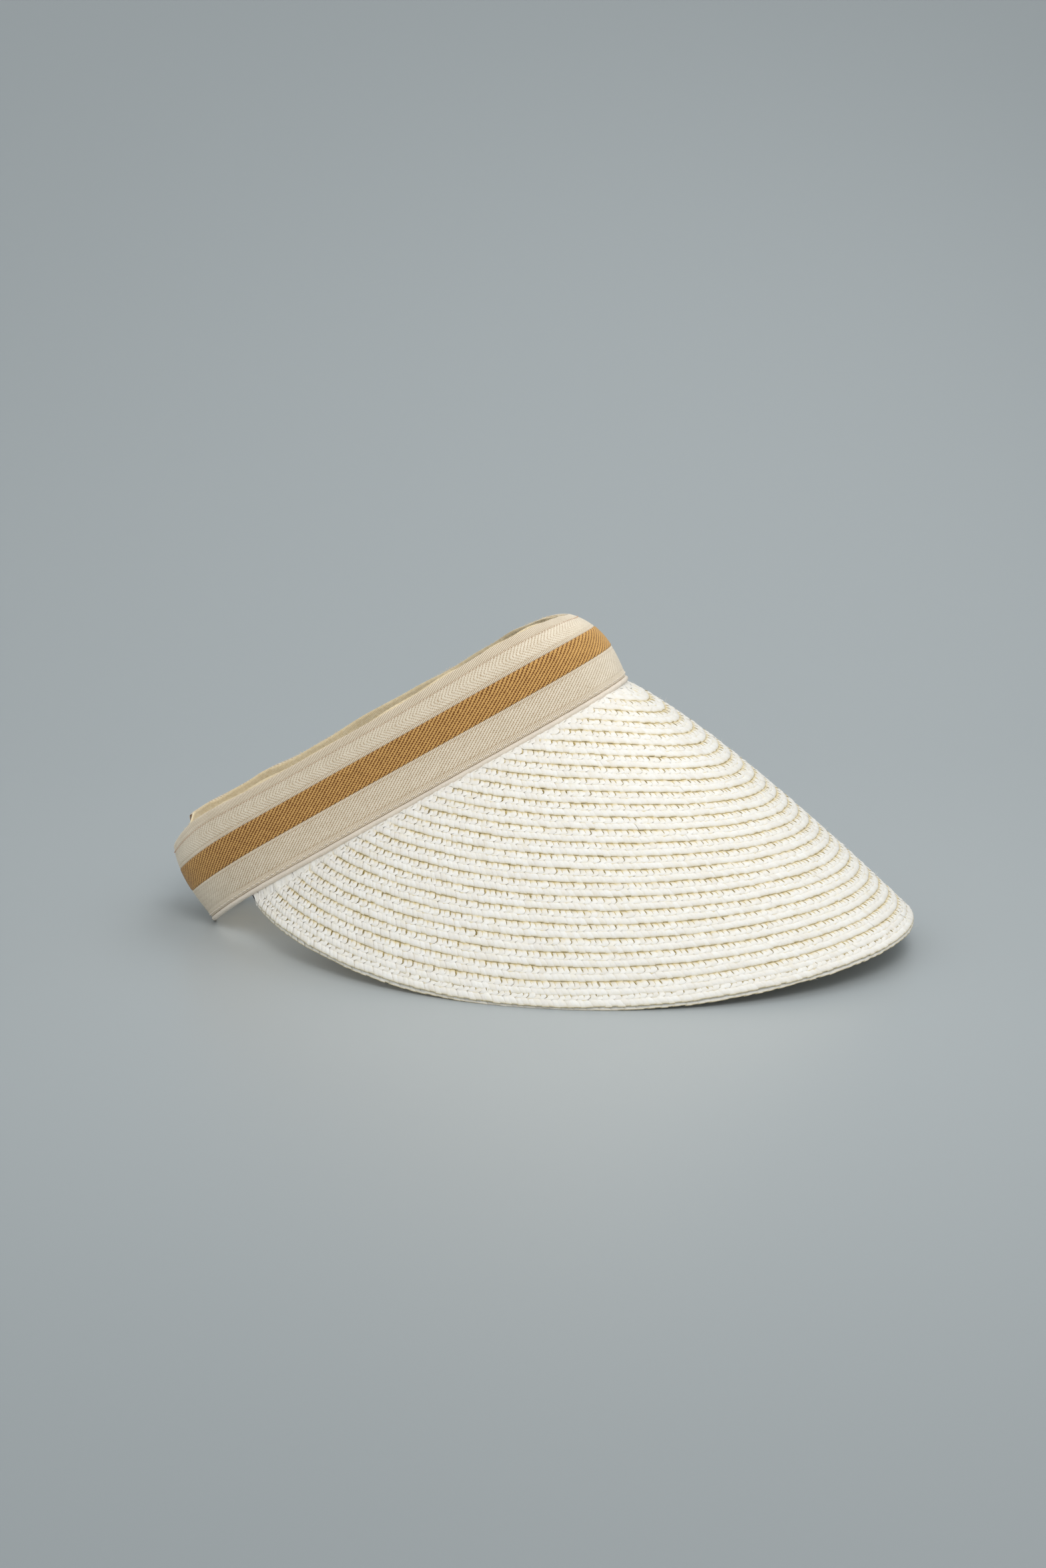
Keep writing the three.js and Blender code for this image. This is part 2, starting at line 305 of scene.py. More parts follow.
def wave(tree, turns):
    """From 1 down to 0 and back once for each whole turn."""
    swing = maths(tree, "COSINE", times(tree, turns, TAU))
    return plus(tree, times(tree, swing, 0.5), 0.5)


def clamped(tree, value):
    node = add(tree, "ShaderNodeClamp")
    link(tree, value, node.inputs["Value"])
    return node.outputs[0]


def field(tree, name, out="Fac"):
    return add(tree, "ShaderNodeAttribute", attribute_name=name).outputs[out]


def vector_maths(tree, operation, vector, by, out):
    node = add(tree, "ShaderNodeVectorMath", operation=operation)
    link(tree, vector, node.inputs[0])
    node.inputs[1].default_value = by
    return node.outputs[out]


def scaled(tree, vector, scale):
    return vector_maths(tree, "MULTIPLY", vector, scale, "Vector")


def dot(tree, vector, other):
    return vector_maths(tree, "DOT_PRODUCT", vector, other, "Value")


def noise(tree, vector, scale, detail=2.0):
    node = add(tree, "ShaderNodeTexNoise", Scale=scale, Detail=detail)
    link(tree, vector, node.inputs["Vector"])
    return node.outputs["Fac"]


def bump(tree, height, strength, distance, bsdf, before=None):
    node = add(tree, "ShaderNodeBump", Strength=strength, Distance=distance)
    link(tree, height, node.inputs["Height"])
    if before is not None:
        link(tree, before, node.inputs["Normal"])
    link(tree, node.outputs["Normal"], bsdf.inputs["Normal"])
    return node.outputs["Normal"]


# ---------------------------------------------------------------- materials
WHITE = (1, 1, 1)
# Painted shade colours of the straw: khaki for the shade in the grooves and under the rolled edges, olive for
# the deep shadow in the gaps.
KHAKI_SHADE, OLIVE_SHADOW = (0.72, 0.58, 0.29), (0.19, 0.135, 0.03)
STRAW_TONES = [(0.0, (0.83, 0.79, 0.73)), (0.5, (0.87, 0.84, 0.79)), (1.0, (0.90, 0.88, 0.84))]
STREAK_SCALE, BLOTCH_SCALE = (5.0, 0.5, 1.0), (0.35, 0.25, 1.0)


def straw_material():
    """Paper straw: streaks along each strand, and painted shade, khaki then olive, where a point attribute
    says.
    """
    mat, tree, bsdf = nodes_of("paper_straw")
    strand = field(tree, "strand", "Vector")
    painted_shade = field(tree, "painted_shade")
    fibre = noise(tree, scaled(tree, strand, STREAK_SCALE), 1.0, 3.0)
    blotch = noise(tree, scaled(tree, strand, BLOTCH_SCALE), 1.0, 2.0)
    base = ramp(tree, field(tree, "tone"), STRAW_TONES)
    base = mix(tree, 1.0, base, ramp(tree, fibre, [(0.3, (0.95, 0.94, 0.91)), (0.6, WHITE)]), "MULTIPLY")
    base = mix(tree, 1.0, base, ramp(tree, blotch, [(0.45, WHITE), (0.8, (0.98, 0.955, 0.88))]), "MULTIPLY")
    # Painted shade: towards khaki up to 1, then towards olive up to 2.
    colour = mix(tree, clamped(tree, painted_shade), base, KHAKI_SHADE)
    colour = mix(tree, clamped(tree, minus(tree, painted_shade, 1.0)), colour, OLIVE_SHADOW)
    link(tree, colour, bsdf.inputs["Base Color"])
    rough = ramp(tree, fibre, [(0.3, (0.62,) * 3), (0.7, (0.46,) * 3)])
    link(tree, rough, bsdf.inputs["Roughness"])
    bsdf.inputs["Specular IOR Level"].default_value = 0.35
    bump(tree, fibre, 0.5, 0.00012, bsdf)
    return mat


# Each weave has diagonal rows of thread crowns: the rows' spacing and slant, the beat of the crowns along
# them, how much painted shade lies in the valleys between rows and in the nicks between crowns, and how far
# calm places ease that painted shade.
Weave = namedtuple("Weave", "spacing beat slant valley nick eased")
LOW_WEAVE = Weave(1.18, 0.95, math.radians(33), 1.0, 0.2, 0.5)
HIGH_WEAVE = Weave(1.15, 0.92, math.radians(38), 0.75, 0.13, 0.5)
TAN_WEAVE = Weave(1.34, 1.05, math.radians(31), 1.4, 0.45, 0.15)
VALLEY_POWER, NICK_POWER = 2.2, 3
VALLEY_SHARE, NICK_SHARE = 0.7, 0.3
# BROKEN_SHARE is how much of the valleys' painted shade breaks up between the crowns.
BROKEN_SHARE = 0.45
WEAVE_SHAKE = 0.6
RIB = 0.76
# Painted shade between the ladder's bars: how dark at most, and how fast it fades onto a bar.
RIB_GAP, RIB_FADE = 0.9, 1.5
# Painted shade along the ladder grooves and the folds of the turn.
GROOVE_SHADE = 0.4


def web_material(name, thread, hollow_shade_colour, fleck, weave):
    """Woven threads: diagonal rows of small crowns, and bars where the ladder attribute says, with painted
    shade in the hollows between them and along the grooves.
    """
    mat, tree, bsdf = nodes_of(name)
    grain = field(tree, "grain", "Vector")
    sin, cos = math.sin(weave.slant), math.cos(weave.slant)
    shake = noise(tree, grain, 1.3, 1.0)
    u = dot(tree, grain, (sin / weave.spacing, -cos / weave.spacing, 0))
    u = plus(tree, u, times(tree, shake, WEAVE_SHAKE))
    w = dot(tree, grain, (cos / weave.beat, sin / weave.beat, 0))
    w = plus(tree, w, times(tree, maths(tree, "FLOOR", u), 0.5))
    valley = maths(tree, "POWER", minus(tree, 1.0, wave(tree, u)), VALLEY_POWER)
    notch = minus(tree, 1.0, wave(tree, w))
    nick = maths(tree, "POWER", notch, NICK_POWER)
    # Painted shade of the hollows: the valleys, broken up between crowns, and the nicks.
    broken = times(tree, notch, weave.valley * BROKEN_SHARE)
    broken = plus(tree, broken, weave.valley * (1 - BROKEN_SHARE))
    painted_hollow_shade = plus(tree, times(tree, valley, broken), times(tree, nick, weave.nick))
    crown = plus(tree, times(tree, valley, VALLEY_SHARE), times(tree, nick, NICK_SHARE))
    crown = minus(tree, 1.0, crown)
    bar = wave(tree, dot(tree, grain, (1 / RIB, 0, 0)))
    zone = field(tree, "ladder")
    height = mix(tree, zone, crown, bar)
    # Between the ladder's bars and along the grooves it is painted shade too, eased where calm.
    painted_hollow_shade = mix(tree, zone, painted_hollow_shade, minus(tree, RIB_GAP, times(tree, bar, RIB_FADE)))
    painted_hollow_shade = maths(tree, "ADD", painted_hollow_shade, times(tree, field(tree, "groove"), GROOVE_SHADE), clamp=True)
    painted_hollow_shade = times(tree, painted_hollow_shade, minus(tree, 1.0, times(tree, field(tree, "calm"), weave.eased)))
    fine = noise(tree, scaled(tree, grain, (3.2, 3.2, 1)), 1.0, 2.0)
    broad = noise(tree, scaled(tree, grain, (0.12, 0.25, 1)), 1.0, 2.0)
    base = mix(tree, ramp(tree, fine, [(0.35, (0, 0, 0)), (0.7, WHITE)]), thread, fleck)
    base = mix(tree, painted_hollow_shade, base, hollow_shade_colour)
    wash = ramp(tree, broad, [(0.3, (0.93, 0.92, 0.90)), (0.7, WHITE)])
    link(tree, mix(tree, 1.0, base, wash, "MULTIPLY"), bsdf.inputs["Base Color"])
    bsdf.inputs["Roughness"].default_value = 0.82
    bsdf.inputs["Specular IOR Level"].default_value = 0.25
    bsdf.inputs["Sheen Weight"].default_value = 0.15
    before = bump(tree, height, 0.7, 0.00022, bsdf)
    bump(tree, fine, 0.5, 0.00012, bsdf, before)
    return mat


def plain_material(name, low_colour, high_colour, scale, rough, depth, sheen=0.0, ribbed=False):
    mat, tree, bsdf = nodes_of(name)
    where = add(tree, "ShaderNodeTexCoord").outputs["Object"]
    fine = noise(tree, where, scale, 3.0)
    broad = noise(tree, where, scale * 0.06, 2.0)
    base = ramp(tree, fine, [(0.3, low_colour), (0.7, high_colour)])
    base = mix(tree, 1.0, base, ramp(tree, broad, [(0.3, (0.9, 0.9, 0.9)), (0.7, WHITE)]), "MULTIPLY")
    bsdf.inputs["Roughness"].default_value = rough
    bsdf.inputs["Specular IOR Level"].default_value = 0.3
    bsdf.inputs["Sheen Weight"].default_value = sheen
    before = bump(tree, fine, 0.5, depth, bsdf)
    if ribbed:
        bar = wave(tree, dot(tree, field(tree, "grain", "Vector"), (1 / RIB, 0, 0)))
        # Painted shade in the grooves between the ribs.
        base = mix(tree, 1.0, base, ramp(tree, bar, [(0.1, (0.92, 0.89, 0.84)), (0.6, WHITE)]), "MULTIPLY")
        bump(tree, bar, 0.5, 0.00025, bsdf, before)
    link(tree, base, bsdf.inputs["Base Color"])
    return mat


STRAW = straw_material()
# Each look is the colour of the thread, the painted shade colour of its hollows, and the colour of its
# flecks.
CREAM_LOOK = (0.91, 0.82, 0.67), (0.42, 0.28, 0.15), (0.78, 0.67, 0.52)
TAN_LOOK = (0.78, 0.46, 0.155), (0.16, 0.055, 0.01), (0.62, 0.34, 0.10)
LOW_CREAM = web_material("cream_webbing", *CREAM_LOOK, LOW_WEAVE)
HIGH_CREAM = web_material("cream_webbing_herringbone", *CREAM_LOOK, HIGH_WEAVE)
TAN = web_material("tan_webbing", *TAN_LOOK, TAN_WEAVE)
LINING = plain_material("brushed_lining", (0.84, 0.68, 0.42), (0.96, 0.82, 0.58), 900, 0.95, 0.0003,
                        sheen=0.4, ribbed=True)
PIPING = plain_material("piping_cover", (0.76, 0.66, 0.54), (0.84, 0.75, 0.64), 1500, 0.6, 0.00008, 0.1)
THREAD = plain_material("stitch_thread", (0.56, 0.34, 0.23), (0.68, 0.47, 0.34), 2500, 0.6, 0.00005)
PALE_THREAD = plain_material("pale_thread", (0.80, 0.71, 0.60), (0.88, 0.80, 0.70), 2500, 0.6, 0.00005)
RUBBER = plain_material("rubber_yarn", (0.45, 0.20, 0.13), (0.55, 0.28, 0.19), 2500, 0.7, 0.00005)

# ---------------------------------------------------------------- the plaited rows
STRAND_PITCH = 2.62
# Strands lie in pairs, closer ones on the wearer's left of the front than on the right, and every second one
# reaches further out. OVER_UNDER lifts every second one outside the CROSSING share and lowers it inside.
PAIRING, PAIRING_BASE, PAIRING_TREND, PAIRING_SPAN, PAIRING_SPREAD = 0.36, 0.85, 0.35, 90.0, (0.5, 1.3)
PAIRED_FROM, PAIRED_TO = 0.52, 0.76
SCALLOP, SCALLOP_END = 0.014, 0.3
WIDTH_SPREAD = (0.92, 1.08)
START_JITTER, LIFT_JITTER, SLANT_JITTER, SHARE_JITTER, TONE_JITTER = 0.15, 0.055, 0.08, 0.012, 0.22
OVER_UNDER, CROSSING = 0.08, 0.62
END_BODY = 0.35
STRAND_TILT = 0.1
# Every second slit is narrow and has a lighter painted shadow. A strand's inner corner gets painted shade,
# and its under face only a faint painted shade.
SLIT_NARROW, SLIT_LIGHTER_SHADE, SLIT_SPREAD = 0.55, 0.35, (0.5, 1)
CORNER_SHADE, CORNER_FROM, CORNER_TO = 0.6, 0.78, 0.92
UNDER_SHADE, UNDER_SHADE_BASE = 0.15, 0.05
ROW_SLACK = 7.0
# The slow waves of a row: their lengths, how those vary, and how far they shift it across and up.
ROW_WAVES, WAVE_SPREAD = (9.0, 4.0, 1.7), (0.8, 1.25)
WAVE_ACROSS, WAVE_UP = (0.016, 0.011, 0.008), (0.07, 0.05, 0.03)
TABLE_SOFTNESS = 0.4
# Near the seam, from in_loop 1.02 to 1.22, the strands lie high and their painted shade fades out.
SEAM_NEAR, SEAM_FAR, SEAM_LIFT = 1.02, 1.22, 0.7
GATHER = np.array([0.08, 0.08, 0.2])
# A path's points are (offset along the row, share of the row from its outer edge, height, width share,
# painted shade). Painted shade 0 is bare straw, 1 is khaki shade and 2 is olive shadow.
UPPER = np.array([
    (-1.15, 0.40, 0.66, 0.45, 0.9), (-0.45, 0.52, 0.86, 0.98, 0.0), (0.35, 0.66, 0.82, 1.0, 0.0),
    (0.25, 0.79, 0.70, 1.0, 0.0), (-0.2, 0.90, 0.56, 0.99, 0.25), (-0.85, 1.06, 0.16, 0.96, 1.0)])
LOWER = np.array([
    (-1.10, 0.58, 0.60, 0.40, 0.1), (-0.60, 0.46, 0.86, 0.9, 0.0), (0.0, 0.31, 1.02, 1.0, 0.0),
    (0.55, 0.15, 0.96, 1.02, 0.0), (0.90, 0.04, 0.70, 1.02, 0.3), (1.0, -0.02, 0.46, 1.0, 1.0),
    (0.9, 0.0, 0.26, 0.98, 1.0), (0.45, 0.18, 0.1, 0.5, 1.0)])
# The under layers carry painted shade, up to olive shadow where they show through the gaps.
UNDER_UP = np.array([
    (1.3, 0.40, 0.34, 0.5, 1.0), (0.7, 0.56, 0.42, 1.0, 1.6), (-0.2, 0.80, 0.26, 1.0, 2.0),
    (-0.9, 1.10, -0.10, 0.9, 1.5)])
UNDER_LOW = np.array([
    (1.2, 0.58, 0.30, 0.5, 0.6), (0.6, 0.42, 0.44, 1.0, 0.5), (-0.2, 0.22, 0.52, 1.0, 0.5),
    (-0.8, 0.05, 0.36, 0.8, 0.8)])
# Dark slivers between the upper strands: painted shadow standing in for the shaded gaps down to the layers
# below.
SHADOW_SLIVERS = np.array([
    (0.40, 0.66, 0.90, 0.4, 0.75), (0.1, 0.76, 0.86, 0.9, 1.0), (-0.22, 0.87, 0.74, 1.0, 0.9),
    (-0.6, 0.97, 0.58, 0.8, 0.6)])
# Sections through a strand: across from -1 to 1, and share of its thickness, above and below.
FULL_RING = np.array([
    (-1, 0.05), (-0.55, 0.48), (0.1, 0.66), (0.65, 0.44), (1, 0.0), (0.3, -0.45), (-0.5, -0.4)])
THIN_RING = np.array([(-1, 0.0), (0, 0.8), (1, 0.0), (0, -0.6)])
# A strand is creased along both its side edges: a section's point 0, and this one.
FULL_SIDE, THIN_SIDE = 4, 2
# The layers of a row: path, section, width, thickness and shift along the row.
LAYERS = (
    (UPPER, FULL_RING, 3.0, 0.44, 0.0), (LOWER, FULL_RING, 3.3, 0.38, 0.2),
    (UNDER_UP, THIN_RING, 3.6, 0.5, 1.3), (UNDER_LOW, THIN_RING, 3.6, 0.5, 1.3),
    (SHADOW_SLIVERS, THIN_RING, 0.62, 0.2, STRAND_PITCH / 2))


class Row:
    """One braid row: turns (distance along, share across, height) into points."""

    SAMPLES = 4001
    REACH = math.pi * 0.98

    def __init__(self, t_edge, share, lift):
        self.t_edge, self.share, self.lift = t_edge, share, lift
        self.mid = t_edge - share * 0.5
        self.angle = np.linspace(-self.REACH, self.REACH, self.SAMPLES)
        self.line = brim(np.full_like(self.angle, self.mid), self.angle)
        length = np.concatenate([[0], np.cumsum(np.linalg.norm(np.diff(self.line, axis=0), axis=1))])
        self.length = length - length[self.SAMPLES // 2]
        round_, out, _ = brim_frame(np.full_like(self.angle, self.mid), self.angle)
        self.skew = -(round_ * out).sum(-1) / (round_ * round_).sum(-1)
        self.waves = rng.uniform(*WAVE_SPREAD, 3) * ROW_WAVES
        self.phases = rng.uniform(0, TAU, 3)

    def at(self, s, q, d):
        turns = np.sin(s[..., None] / self.waves + self.phases)
        q = q + (turns * WAVE_ACROSS).sum(-1)
        d = d + (turns[..., ::-1] * WAVE_UP).sum(-1)
        t = self.t_edge - self.share * q
        base = np.interp(s, self.length, self.angle)
        angle = base + (t - self.mid) * np.interp(s, self.length, self.skew)
        _, _, n = brim_frame(t, angle)
        at = brim(t, angle) + n * (d + self.lift)[..., None]
        at[..., 2] = (at[..., 2] + np.hypot(at[..., 2], TABLE_SOFTNESS)) / 2
        return at

    def reach(self, slack):
        """First and last distance along the row that is outside the head loop, with some slack."""
        free = in_loop(self.line[:, 0], self.line[:, 1]) > 1
        if not free.any():
            return -slack, slack
        return self.length[free].min() - slack, self.length[free].max() + slack


def hold_at_seam(points):
    """Straw that would run on inside the loop is gathered on the seam line."""
    x, y = points[..., 0], points[..., 1]
    half, e = loop_oval(x < LOOP_X)
    along = signed_power((x - LOOP_X) / (half * math.cos(SLOPE)), e / 2)
    line, _ = seam(np.arctan2(signed_power(y / LOOP_SIDE, e / 2), along))
    inside = in_loop(x, y) < 1
    return np.where(inside[..., None], line + (points - line) * GATHER, points), inside


def fibre_coordinates(path, half_width):
    """Where each point is across and along its strand, with its own part of the noise for each strand."""
    offset, share = path[:, 0], path[:, 1]
    count = np.arange(len(half_width))
    run = np.concatenate([[0], np.cumsum(np.hypot(np.diff(offset), np.diff(share) * PITCH))])
    return np.stack(np.broadcast_arrays(
        (count * 7.31 % 97)[:, None, None] + half_width,
        run[None, :, None] + (count * 3.7 % 53)[:, None, None], 0.0), -1)


def strands(row, path, ring, width, thick, s, phase, is_shadow_sliver):
    """One strand of a layer for each place s along a row; phase is 1 and -1 in turn."""
    n = len(s)
    is_thin = len(ring) == len(THIN_RING)
    # The last column of a path is its painted shade.
    offset, share, height, wide_share, depth = path.T
    wide = width * rng.uniform(*WIDTH_SPREAD, n)[:, None] * wide_share
    start = s + rng.normal(0, START_JITTER, n)
    lift = rng.normal(0, LIFT_JITTER, n)
    slant = rng.normal(0, SLANT_JITTER, n)
    scallop = SCALLOP * phase[:, None] * (1 - smooth(share, 0.0, SCALLOP_END))
    q = share + rng.normal(0, SHARE_JITTER, n)[:, None] + scallop
    along = start[:, None] + offset * (1 + slant[:, None])
    pairing = PAIRING * (PAIRING_BASE + PAIRING_TREND * np.clip(s / PAIRING_SPAN, -1, 1))
    pairing = pairing * rng.uniform(*PAIRING_SPREAD, n)
    if is_shadow_sliver:
        wide = wide * np.where(phase < 0, 1.0, SLIT_NARROW)[:, None]
    else:
        along = along + (pairing * phase)[:, None] * smooth(share, PAIRED_FROM, PAIRED_TO)
    half_width = wide[..., None] * 0.5 * ring[:, 0]
    body = thick * (END_BODY + (1 - END_BODY) * wide_share)
    high = height + lift[:, None] + OVER_UNDER * phase[:, None] * np.where(share < CROSSING, 1, -1)
    up = high[..., None] + body[:, None] * ring[:, 1] * 0.5 + STRAND_TILT * ring[:, 0]
    across, q = along[..., None] + half_width, np.broadcast_to(q[..., None], up.shape)
    points = row.at(across, q, up)
    near = 1 - smooth(in_loop(points[..., 0], points[..., 1]), SEAM_NEAR, SEAM_FAR)
    if not is_thin:
        points = row.at(across, q, up + near * (SEAM_LIFT - np.minimum(height, SEAM_LIFT))[:, None])
    points, inside = hold_at_seam(points)
    keep = ~inside.reshape(n, -1).all(1)
    tone = np.broadcast_to(np.clip(rng.normal(0.5, TONE_JITTER, n), 0, 1)[:, None, None], up.shape)
    # Painted shade of each point: a sliver takes its path's, every second one more; a strand takes its
    # path's, plus more at its inner corner and only a faint one on its under face. All of it fades out near
    # the seam.
    if is_shadow_sliver:
        extra_shade = np.where(phase < 0, 1.0, SLIT_LIGHTER_SHADE)[:, None, None] * rng.uniform(*SLIT_SPREAD, (n, 1, 1))
        shade = depth[:, None] * (1 + extra_shade)
    else:
        corner_shade = np.clip(phase[:, None, None] * ring[:, 0], 0, 1)
        corner_shade = corner_shade * smooth(share, CORNER_FROM, CORNER_TO)[:, None] * CORNER_SHADE
        # A thin strand's side edges count as its under face.
        under = ring[:, 1] <= 0 if is_thin else ring[:, 1] < 0
        shade_below = np.minimum(depth[:, None], 1) * UNDER_SHADE + UNDER_SHADE_BASE
        shade = np.where(under, shade_below, depth[:, None] + corner_shade)
    return points[keep], fibre_coordinates(path, half_width)[keep], tone[keep], (shade * (1 - near))[keep]


def plait(name, t_edge, share, lift, node, height=1.0):
    row = Row(t_edge, share, lift)
    first, last = row.reach(ROW_SLACK)
    s = np.arange(first, last, STRAND_PITCH)
    phase = np.where(np.arange(len(s)) % 2 == 0, 1.0, -1.0)
    verts, quads, strand, tone, painted_shade, creased, base = [], [], [], [], [], [], 0
    for layer, ring, wide, thick, shift in LAYERS:
        path = layer * (1, 1, height, 1, 1)
        points, fibre, light, shade = strands(row, path, ring, wide, thick, s + shift, phase, layer is SHADOW_SLIVERS)
        flat = points.reshape(-1, 3)
        side = THIN_SIDE if len(ring) == len(THIN_RING) else FULL_SIDE
        verts.append(flat)
        quads.append(outward(flat, loft_quads(len(points), len(path), len(ring))) + base)
        creased.append(np.arange(len(flat)) % len(ring) % side == 0)
        strand.append(fibre.reshape(-1, 3))
        tone.append(light.reshape(-1))
        painted_shade.append(shade.reshape(-1))
        base += len(flat)
    fields = {"strand": np.concatenate(strand), "tone": np.concatenate(tone), "painted_shade": np.concatenate(painted_shade)}
    return piece(name, np.concatenate(verts), np.concatenate(quads), STRAW, [node], fields,
                 np.concatenate(creased))


# Row 1 stops short of the folded edge below it.
EDGE_TUCK = 0.010
FOLD_EDGE, FOLD_WIDTH, FOLD_LIFT, FOLD_HEIGHT = 0.998, 0.030, -1.35, 0.8
for k in range(PITCHES):
    edge = 1 - k / PITCHES - (EDGE_TUCK if k == 0 else 0)
    plait(f"plaited_row_{k + 1:02d}", edge, 1 / PITCHES, 0.0, f"straw_row_{min(k + 1, ROWS):02d}")
plait("plaited_folded_edge", FOLD_EDGE, FOLD_WIDTH, FOLD_LIFT, "folded_edge", FOLD_HEIGHT)


# ---------------------------------------------------------------- the head band
def arc_table():
    """Degrees along the strip of webbing, and the length from its inner end to each."""
    degrees = np.linspace(JOIN_START, JOIN_STOP - 360, 6001)
    at = wall(np.radians(degrees), np.full_like(degrees, WEB_W / 2), np.zeros_like(degrees))
    return degrees, np.concatenate([[0], np.cumsum(np.linalg.norm(np.diff(at, axis=0), axis=1))])


BAND_DEGREES, BAND_LENGTH = arc_table()
BAND_TOTAL = float(BAND_LENGTH[-1])
# Heights of the tan stripe's two edges, and of the line that the upper cream's slant turns at.
CREAM_LOW, CREAM_HIGH = 14.9, 26.6
HERRINGBONE = 31.4
# Heights of the fine parallel folds where the band turns at the back.
TUCKS = (1.4, 3.6, 5.6, 7.8, 9.9, 12.2, 13.6, 27.9, 34.6, 36.3)
TUCK_WIDTH, TUCK_DEPTH = 0.22, 0.8
# The weave is flatter on that turn, and its painted shade is eased there and at the front; each pair is where
# it starts and is whole, or ends, in degrees. Ladders are bands of ribs across the strip, with a groove along
# both edges.
TURN_IN, TURN_OUT, TURN_FLAT = (124, 150), (196, 215), 0.6
CALM_FRONT, CALM_SHARE = (4, 42), 0.9
LADDER_SOFT, LADDER_GROOVE = 0.2, 0.25
LADDER_LOW, LADDER_BAR = 0.08, 0.16
FACE_BASE, GROOVE_DEPTH, FACE_JITTER = 0.16, 0.1, 0.012
EDGE_ROLL, EDGE_DEPTH = 0.6, 0.3
BACK_COLUMNS, BACK_INSET = 5, 0.05


def band_point(s, h, depth):
    """A point of the strip; its inner layer at the join lies deeper and stands higher."""
    degrees = np.interp(s, BAND_LENGTH, BAND_DEGREES)
    join = np.where(degrees > 0, smooth(degrees, JOIN_BACK, JOIN_STOP - 3), 0.0)
    return wall(np.radians(degrees), h + JOIN_RISE * join, depth - JOIN_STEP * join)


def crowns(s, h, weave):
    """The weave's diagonal rows of small thread crowns, from 0 in the pits to 1."""
    u = (s * math.sin(weave.slant) - h * math.cos(weave.slant)) / weave.spacing
    w = (s * math.cos(weave.slant) + h * math.sin(weave.slant)) / weave.beat + 0.5 * np.floor(u)
    valley = (0.5 - 0.5 * np.cos(TAU * u)) ** VALLEY_POWER
    nick = (0.5 - 0.5 * np.cos(TAU * w)) ** NICK_POWER
    return 1 - VALLEY_SHARE * valley - NICK_SHARE * nick


def band_strip(name, h0, h1, rows, weave, relief, ladders, mirror, material, proud=0.0):
    """A strip of the webbing between two heights: a woven face and a plain back, joined along both edges."""
    columns = int(BAND_TOTAL / (RIB / 3))
    s = np.linspace(0, BAND_TOTAL, columns)[:, None] + np.zeros((1, rows))
    h = np.linspace(h0, h1, rows)[None, :] + np.zeros((columns, 1))
    lie = mirror + np.abs(h - mirror) if mirror else h
    degrees = np.interp(s, BAND_LENGTH, BAND_DEGREES)
    turned = smooth(-degrees, *TURN_IN) * (1 - smooth(-degrees, *TURN_OUT))
    calm = turned + CALM_SHARE * (1 - smooth(np.abs(degrees), *CALM_FRONT))
    zone, groove = 0 * h, 0 * h
    for line in TUCKS:
        groove += TUCK_DEPTH * turned * np.exp(-((h - line) / TUCK_WIDTH) ** 2)
    for a, b in ladders:
        past = smooth(h, b - LADDER_SOFT, b + LADDER_SOFT)
        zone += smooth(h, a - LADDER_SOFT, a + LADDER_SOFT) * (1 - past)
        for edge in (a, b):
            groove += np.exp(-((h - edge) / LADDER_GROOVE) ** 2)
    bars = LADDER_LOW + LADDER_BAR * (0.5 + 0.5 * np.cos(TAU * s / RIB))
    face = relief * crowns(-s, lie, weave) * (1 - zone) + zone * bars
    face = face * (1 - TURN_FLAT * turned) - GROOVE_DEPTH * groove
    flat = np.minimum(smooth(h, h0 - 0.01, h0 + EDGE_ROLL), 1 - smooth(h, h1 - EDGE_ROLL, h1 + 0.01))
    depth = WEB_T / 2 - FACE_BASE + proud + face + rng.normal(0, FACE_JITTER, face.shape)
    depth = depth - EDGE_DEPTH * (1 - flat)
    back_s = s[:, :BACK_COLUMNS]
    back_h = np.linspace(h1, h0, BACK_COLUMNS)[None, :] + 0 * back_s
    back_depth = np.full(back_s.shape, BACK_INSET - WEB_T / 2)

    def both(front, back):
        return np.concatenate([front, back], 1)

    verts = both(band_point(s, h, depth), band_point(back_s, back_h, back_depth)).reshape(-1, 3)
    quads = outward(verts, loft_quads(1, columns, rows + BACK_COLUMNS))
    grain = np.stack([-both(s, back_s), both(lie, back_h), 0 * both(s, back_s)], -1).reshape(-1, 3)
    fields = {key: both(value, 0 * back_s).ravel() for key, value in
              (("ladder", zone), ("groove", groove), ("calm", calm))}
    return piece(name, verts, quads, material, ["elastic_webbing"], {**fields, "grain": grain})


low_web = band_strip("webbing_lower_cream", -0.25, CREAM_LOW, 39, LOW_WEAVE, 0.22,
                     [(-2, 2.9), (CREAM_LOW - 1.5, 20)], 0, LOW_CREAM)
tan_web = band_strip("webbing_tan_stripe", CREAM_LOW - 0.1, CREAM_HIGH + 0.1, 38, TAN_WEAVE, 0.34,
                     [], 0, TAN, 0.03)
top_web = band_strip("webbing_upper_cream", CREAM_HIGH, WEB_W, 35, HIGH_WEAVE, 0.20,
                     [(20, CREAM_HIGH + 1.5), (34.8, 44)], HERRINGBONE, HIGH_CREAM)


def piping(columns=720, sides=14, rough=0.03, twist=60):
    """The covered cord along the seam, very slightly twisted."""
    angle = np.linspace(-math.pi, math.pi, columns, endpoint=False)
    at, out = seam(angle)
    a = np.linspace(0, TAU, sides, endpoint=False)
    r = PIPING_R * (1 + rough * np.cos(2 * a[None, :] + angle[:, None] * twist))
    ring = np.cos(a)[None, :, None] * out[:, None] + np.sin(a)[None, :, None] * UP
    verts = at[:, None] + r[..., None] * ring
    quads = outward(verts.reshape(-1, 3), loft_quads(1, columns, sides, True))
    return piece("piping_cord", verts, quads, PIPING, ["seam_piping"])


piping()

